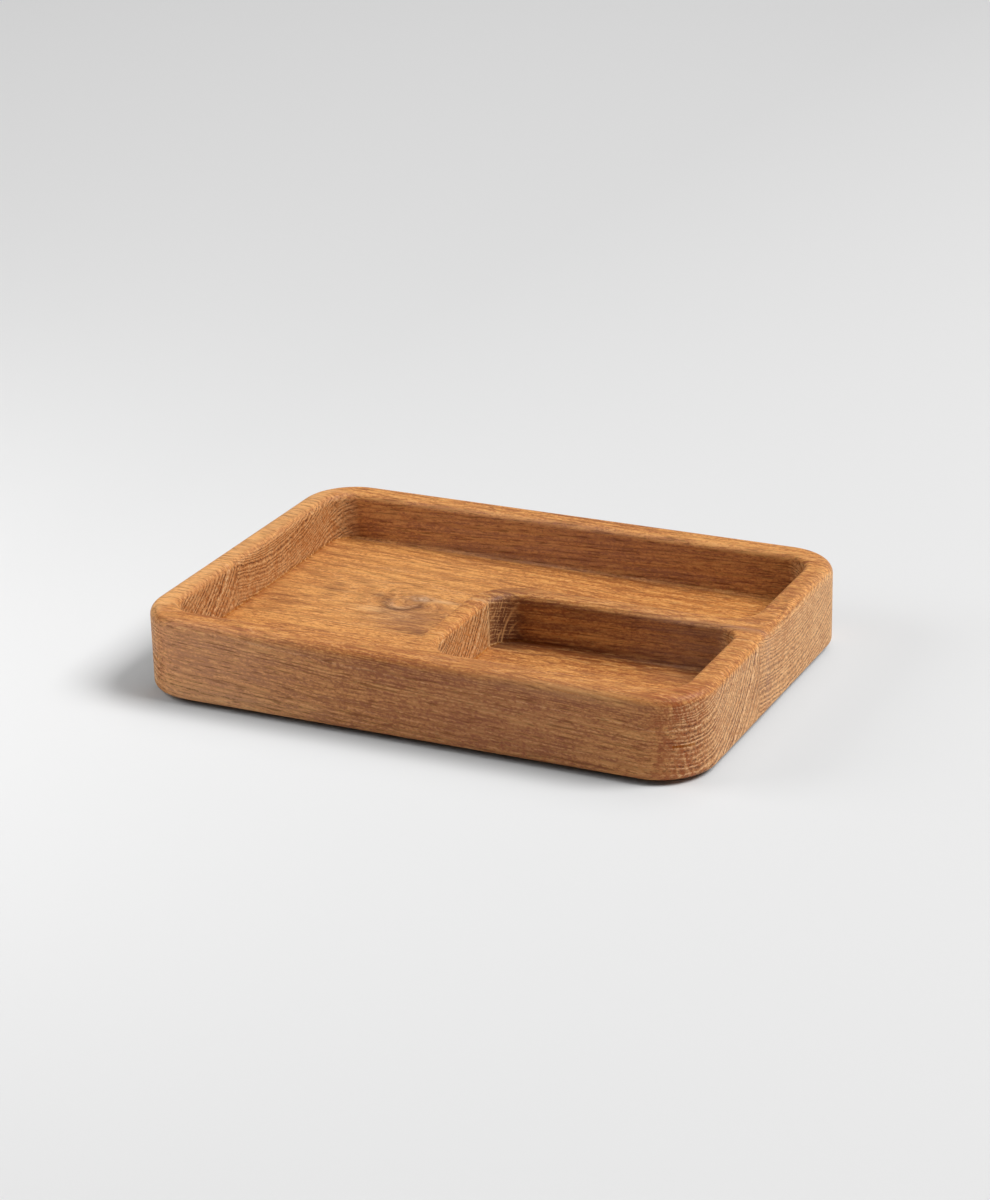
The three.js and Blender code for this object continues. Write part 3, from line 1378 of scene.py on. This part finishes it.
@dataclass
class Studio:
    """The photograph's camera, a pale floor and soft light."""

    image_height_px: float = 1200.0
    focal_px: float = 3200.0
    film_mm: float = 36.0
    azimuth_deg: float = 25.676
    elevation_deg: float = 22.938
    distance: float = 1.3496
    pitch_deg: float = -1.066
    roll_deg: float = -1.415
    floor_side: float = 16.0
    world_tint: str = "#FFFFFF"
    world_level: float = 0.06
    shown_level: float = 0.4
    lights: tuple[AreaLight, ...] = (
        AreaLight("key", 102.0, 52.0, 4.2, 2.0, 2.0, 0.945),
        AreaLight("back", 175.0, 65.0, 4.0, 2.6, 2.6, 0.175),
        AreaLight("fill", -60.0, 35.0, 0.7, 0.4, 0.4, 0.3, glossy=False),
    )

    def build(self, ground: float) -> None:
        """Sets up the view, the floor and the lights.

        Args:
            ground: The height of the body's underside, which the camera was fitted from.
        """
        self.camera(Vector((0, 0, ground)))
        self.floor()
        self.world()
        for light in self.lights:
            light.place()
        bpy.context.scene.view_settings.view_transform = "Standard"

    def camera(self, origin: Vector) -> None:
        """Puts the camera where the photograph was taken from.

        Args:
            origin: The point that the camera's distance is measured from.
        """
        lens = bpy.data.cameras.new("photo_camera")
        lens.sensor_fit = "VERTICAL"
        lens.sensor_height = self.film_mm
        lens.lens = self.focal_px / self.image_height_px * self.film_mm
        camera = bpy.data.objects.new("photo_camera", lens)
        bpy.context.scene.collection.objects.link(camera)
        back = direction(self.azimuth_deg, self.elevation_deg + self.pitch_deg)
        turn = math.radians(self.azimuth_deg)
        level = Vector((math.cos(turn), math.sin(turn), 0))
        upright = back.cross(level)
        roll = math.radians(self.roll_deg)
        right = math.cos(roll) * level + math.sin(roll) * upright
        up = math.cos(roll) * upright - math.sin(roll) * level
        place = origin + self.distance * direction(self.azimuth_deg, self.elevation_deg)
        camera.matrix_world = Matrix.Translation(place) @ Matrix((right, up, back)).transposed().to_4x4()
        bpy.context.scene.camera = camera

    def floor(self) -> None:
        """Lays the pale floor."""
        half = self.floor_side / 2
        floor = placed_primitive(
            bpy.ops.mesh.primitive_plane_add, Vector((-half, -half, 0)), Vector((half, half, 0))
        )
        floor.name = "floor"
        cover(floor, SeamlessPaper().make())

    def world(self) -> None:
        """Lights the room evenly, and shows pale to the camera past the floor's edge."""
        world = bpy.data.worlds.new("room")
        world.use_nodes = True
        tree = world.node_tree
        tree.nodes.clear()
        path = add_node(tree, "ShaderNodeLightPath")
        shown = path.outputs["Is Camera Ray"]
        for ray in ("Is Glossy Ray", "Is Transmission Ray"):
            shown = number(tree, "MAXIMUM", shown, path.outputs[ray])
        strength = remap(tree, shown, (self.world_level, self.shown_level))
        room = add_node(
            tree, "ShaderNodeBackground", {}, {"Color": srgb(self.world_tint), "Strength": strength}
        )
        add_node(tree, "ShaderNodeOutputWorld", {}, {"Surface": room.outputs[0]})
        bpy.context.scene.world = world


def main() -> None:
    """Builds the tray on its frame, then the studio round it."""
    logging.basicConfig(level=logging.INFO, format="%(message)s")
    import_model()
    body = TrayBody.from_frame()
    staves = body.build()
    body.dress(staves)
    feet = RubberFeet()
    feet_pieces = feet.build()
    feet.dress(feet_pieces)
    for piece in (*staves.values(), *feet_pieces):
        LOG.info("%s: %d faces", piece.name, len(piece.data.polygons))
    Studio().build(body.low.z)


if __name__ == "__main__":
    main()
